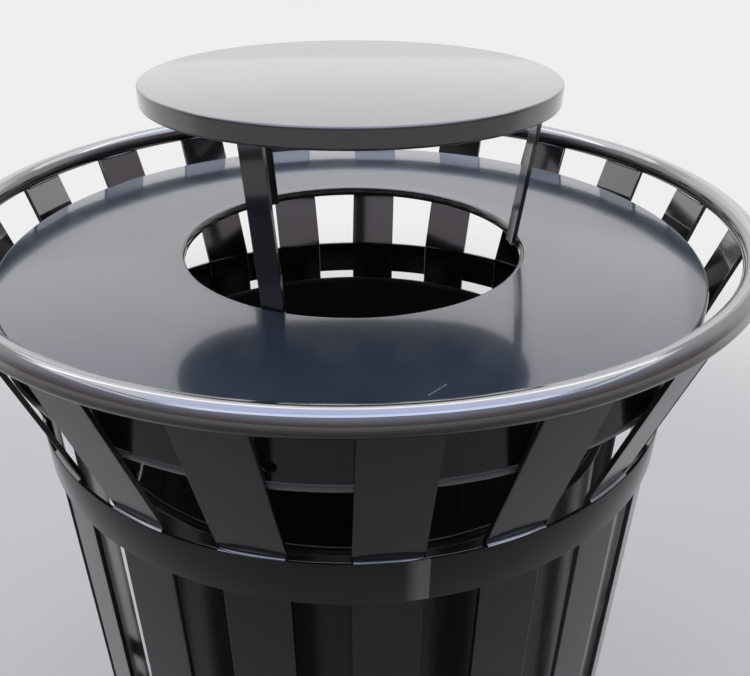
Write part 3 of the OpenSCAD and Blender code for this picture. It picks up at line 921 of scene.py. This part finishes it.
floor_r = LINER_R - LINER_T - WELD_GAP
floor_fold = (floor_r - FLOOR_FOLD_R, LINER_BOTTOM + FLOOR_RISE - FLOOR_FOLD_R)
liner_floor = spin_section(
    "liner_bottom",
    [(0, LINER_BOTTOM + FLOOR_RISE - LINER_T)] + arc(floor_fold, FLOOR_FOLD_R - LINER_T, 90, 0)
    + [(floor_r - LINER_T, LINER_BOTTOM), (floor_r, LINER_BOTTOM)]
    + arc(floor_fold, FLOOR_FOLD_R, 0, 90) + [(0, LINER_BOTTOM + FLOOR_RISE)], closed=False)
hang(liner_floor, "liner", "liner_paint", liner_coat, "liner_floor")

lap_low, lap_high = LINER_BOTTOM + MM, LINER_TOP - 3 * LINER_BEAD_R
lap = sweep_section("liner_lap", [(LINER_R - LAP_T / 2, lap_low), (LINER_R + LAP_T, lap_low),
                                  (LINER_R + LAP_T, lap_high), (LINER_R - LAP_T / 2, lap_high)],
                    LAP_SWEEP, LAP_STEPS)
round_edges(lap, LAP_EDGE)
lap.data.transform(turned(LAP_TURN))
hang(lap, "liner", "liner_paint", liner_coat)

# %% [markdown]
# ## Rivets
# Each lug is held by two rivets through the liner's wall, whose domed heads show on the outside. A
# dome is part of a sphere, so one is spun from an arc and copied to the eight places.

# %% Set the rivets
LUG_Y = 60.3 * MM
PIVOT_DROP = 32 * MM
RIVET_DROPS = (14 * MM, 26 * MM)
RIVET_R = 5 * MM
RIVET_H = 2.5 * MM
RIVET_STEPS = 32

dome_r = (RIVET_R ** 2 + RIVET_H ** 2) / (2 * RIVET_H)
dome_from = math.degrees(math.acos(RIVET_R / dome_r))
dome = spin_section("rivet_pattern", [(0, -LINER_T / 2), (RIVET_R, -LINER_T / 2)]
                    + arc((0, RIVET_H - dome_r), dome_r, dome_from, 90), closed=False,
                    steps=RIVET_STEPS)
lug_turn = math.degrees(math.asin(LUG_Y / (LINER_R - LINER_T)))
facing_out = Matrix.Rotation(math.pi / 2, 4, "Y")
rivet_places = [Matrix.Translation((LINER_R, 0, LINER_TOP - PIVOT_DROP - drop)) @ facing_out
                for drop in RIVET_DROPS]
rivets = copies_round("rivet_heads", dome, rivet_places,
                      [side + end for side in (0, 180) for end in (-lug_turn, lug_turn)])
hang(rivets, "liner", "zinc_plate", zinc, "lug_rivets")

# %% [markdown]
# ## Lugs, handles and fixings
# Two wire handles fold down inside the liner, each in a pair of lugs. Bolts with washers and nuts
# hold the feet. Their shapes are exact in the frame already, so modelling them again would only lose
# by it. Each is a copy of that solid, with its loose triangles merged and its sharp edges broken, as
# plating needs.

# %% Dress the lugs, handles and fixings
LUG_EDGE = 0.6 * MM
BOLT_EDGE = 0.4 * MM
WASHER_EDGE = 0.3 * MM
NUT_EDGE = 0.5 * MM


def dress(node, name, body, edge=0):
    bpy.ops.object.select_all(action="DESELECT")
    piece = bpy.data.objects.new(name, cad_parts[node].data.copy())
    bpy.context.collection.objects.link(piece)
    piece.select_set(True)
    bpy.context.view_layer.objects.active = piece
    bpy.ops.object.mode_set(mode="EDIT")
    settle(piece)
    if edge:
        round_edges(piece, edge)
    hang(piece, body, "zinc_plate", zinc, node)


for side in ("left", "right"):
    dress(f"{side}_lugs", f"{side}_lug_pair", "liner", LUG_EDGE)
    dress(f"{side}_handle", f"{side}_wire", f"{side}_handle")
dress("foot_bolts", "plated_bolts", "frame", BOLT_EDGE)
dress("foot_washers", "plated_washers", "frame", WASHER_EDGE)
dress("foot_nuts", "plated_nuts", "frame", NUT_EDGE)

# %% [markdown]
# ## Floor
# The bin stands on a plain pale floor, which fades into the surround some way off so that no edge
# cuts the picture. Emission mixed in by distance does that, and the floor near the bin keeps its
# shadow.

# %% Lay the floor
FLOOR_SIZE = 60
FLOOR_DARK, FLOOR_PALE = (0.63, 0.62, 0.605, 1), (0.66, 0.65, 0.635, 1)
FADE_FROM, FADE_TO = 1.1, 2.4
FAR_MIRRORED, FAR_SEEN = (0.58, 0.55, 0.56, 1), (0.86, 0.86, 0.86, 1)


def straight_rays(nodes):
    kinds = ("Is Camera Ray", "Is Glossy Ray", "Is Transmission Ray")
    return sum(nodes.node("ShaderNodeLightPath", out=kind) for kind in kinds)


def floor_finish():
    finish = Finish("studio_floor", IOR=1.4)
    cloud = finish.noise(0.8, 3.0)
    away = finish.node("ShaderNodeVectorMath", {"operation": "LENGTH"}, {0: finish.place}, out="Value")
    fade = finish.ramp(away, FADE_FROM, FADE_TO) * straight_rays(finish)
    finish.set(Base_Color=finish.mix(cloud, FLOOR_DARK, FLOOR_PALE), Roughness=0.75 + cloud * 0.1)
    behind = finish.node("ShaderNodeSeparateXYZ", {}, {0: finish.place}, out="Y")
    seen = finish.ramp(behind, -0.5, 0.5) + finish.node("ShaderNodeLightPath", out="Is Camera Ray")
    paleness = finish.mix(seen, FAR_MIRRORED, FAR_SEEN)
    glow = finish.node("ShaderNodeEmission", {}, {"Color": paleness}, out="Emission")
    lit = Value(finish, finish.shader.outputs["BSDF"])
    shown = finish.node("ShaderNodeMixShader", {}, {0: fade, 1: lit, 2: glow}, out="Shader")
    finish.feed(finish.tree.nodes["Material Output"].inputs["Surface"], shown)
    return finish.material


bpy.ops.object.select_all(action="DESELECT")
bpy.ops.mesh.primitive_plane_add(size=FLOOR_SIZE)
floor = bpy.context.active_object
floor.name = "floor"
floor.data.materials.append(floor_finish())
print("floor", FLOOR_SIZE, "m across")

# %% [markdown]
# ## Light
# A gloss black object is lit by what it mirrors, so the lamps are large and soft. One panel overhead
# lights everything. Two panels far behind are what the lid and the bonnet mirror at a flat angle, and
# narrow strips overhead draw the bright lines on the rim. More lamps could stand for the rest, but a
# surround does it more evenly: in reflections it is a warm, darker room on the camera's side and pale
# on the far side, under a blue zenith. To the camera it is plain and pale, from every side.

# %% Hang the lamps
AIM = Vector((0, 0, 0.75))


def softbox(name, place, width, height, watts, colour):
    bpy.ops.object.select_all(action="DESELECT")
    bpy.ops.object.light_add(type="AREA", location=place)
    lamp = bpy.context.active_object
    lamp.name = name
    lamp.data.shape = "RECTANGLE"
    lamp.data.size, lamp.data.size_y = width, height
    lamp.data.energy, lamp.data.color = watts, colour
    lamp.rotation_euler = (AIM - Vector(place)).to_track_quat("-Z", "Y").to_euler()
    lamp.visible_camera = False
    print(name, "at", place)


softbox("sky_panel", (0.0, 0.3, 3.4), 4.2, 4.2, 92, (0.96, 0.97, 1.04))
softbox("back_panel", (0.0, 3.4, 3.2), 5.0, 1.8, 13, (1.0, 0.98, 1.0))
softbox("back_wall", (0.0, 11.0, 5.4), 19.0, 6.0, 124, (1.0, 0.965, 0.995))
softbox("front_strip", (0.0, -1.15, 3.1), 4.2, 0.6, 12, (0.55, 0.75, 1.0))
softbox("back_strip", (0.0, 1.15, 3.1), 4.2, 0.3, 11, (1.0, 1.0, 1.0))
softbox("left_strip", (-2.2, 0.1, 3.1), 2.6, 0.3, 4, (0.9, 0.94, 1.0))
softbox("right_strip", (2.2, 0.1, 3.1), 2.6, 0.3, 4, (0.9, 0.94, 1.0))

# %% Paint the surround
ROOM_LOW, ROOM_HIGH = (0.31, 0.27, 0.28, 1), (0.85, 0.88, 1.20, 1)
FAR_SIDE = (0.95, 0.945, 0.965, 1)
ZENITH = (0.60, 0.75, 1.60, 1)
SOFT_FILL = (0.15, 0.15, 0.155, 1)
BACKDROP = (0.95, 0.96, 0.97, 1)

world = bpy.data.worlds.new("surround")
world.use_nodes = True
bpy.context.scene.world = world
surround = Nodes(world.node_tree)
way = surround.node("ShaderNodeTexCoord", out="Generated")
ahead, up = [surround.node("ShaderNodeSeparateXYZ", {}, {0: way}, out=axis) for axis in "YZ"]
room = surround.mix(surround.ramp(up, 0.12, 1.0), ROOM_LOW, ROOM_HIGH)
room = surround.mix(surround.ramp(ahead, -0.1, 0.45), room, FAR_SIDE)
room = surround.mix(surround.ramp(up, 0.80, 0.95), room, ZENITH)
mirrored = surround.mix(straight_rays(surround), SOFT_FILL, room)
seen = surround.node("ShaderNodeLightPath", out="Is Camera Ray")
surround.feed(world.node_tree.nodes["Background"].inputs["Color"],
              surround.mix(seen, mirrored, BACKDROP))
bpy.context.scene.view_settings.view_transform = "Standard"
print("surround:", len(world.node_tree.nodes), "nodes")
